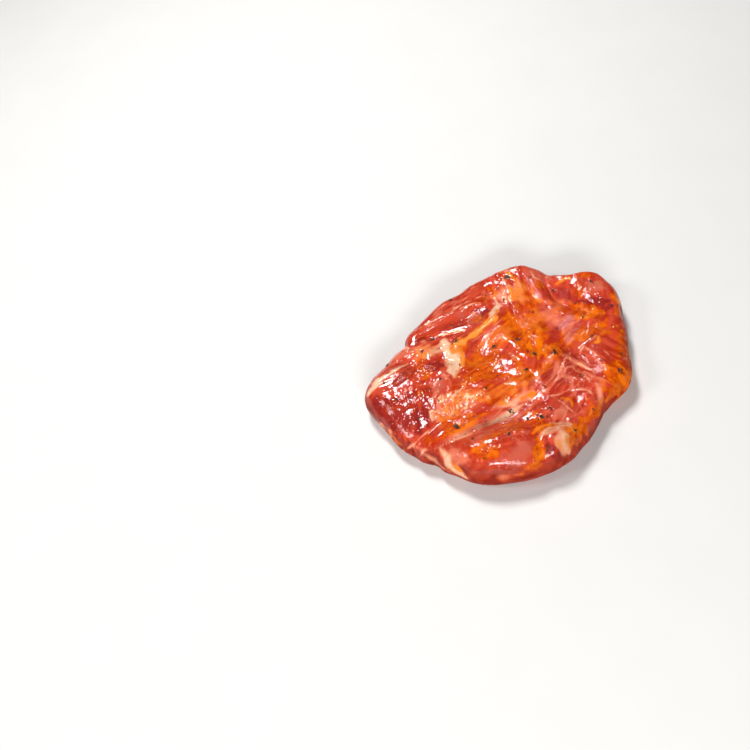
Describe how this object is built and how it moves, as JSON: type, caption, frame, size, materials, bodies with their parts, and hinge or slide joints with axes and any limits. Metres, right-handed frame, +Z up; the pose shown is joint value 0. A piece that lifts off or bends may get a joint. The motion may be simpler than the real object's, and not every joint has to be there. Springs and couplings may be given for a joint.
{
  "type": "raw pork chop",
  "caption": "Boneless raw pork chop: one thick, uneven slab of several muscles with soft rounded edges, seams, fat and pepper flakes stuck to its top.",
  "frame": {"origin": "middle of the flat underside, under the middle of the outline", "axes": "+X along the chop's longest side, towards its thin corner flap; +Y across it; +Z up, out of the seasoned top"},
  "size_m": [0.1418, 0.1202, 0.0208],
  "materials": {
    "marinated_pork": "wet raw meat under an oily orange marinade, red flesh with cream fat, glossy",
    "cracked_pepper": "dark cracked pepper flakes, oily",
    "spice_flecks": "small red-brown flecks of ground spice, oily"
  },
  "bodies": {
    "root": {"pork_chop": "marinated_pork"}
  },
  "joints": []
}
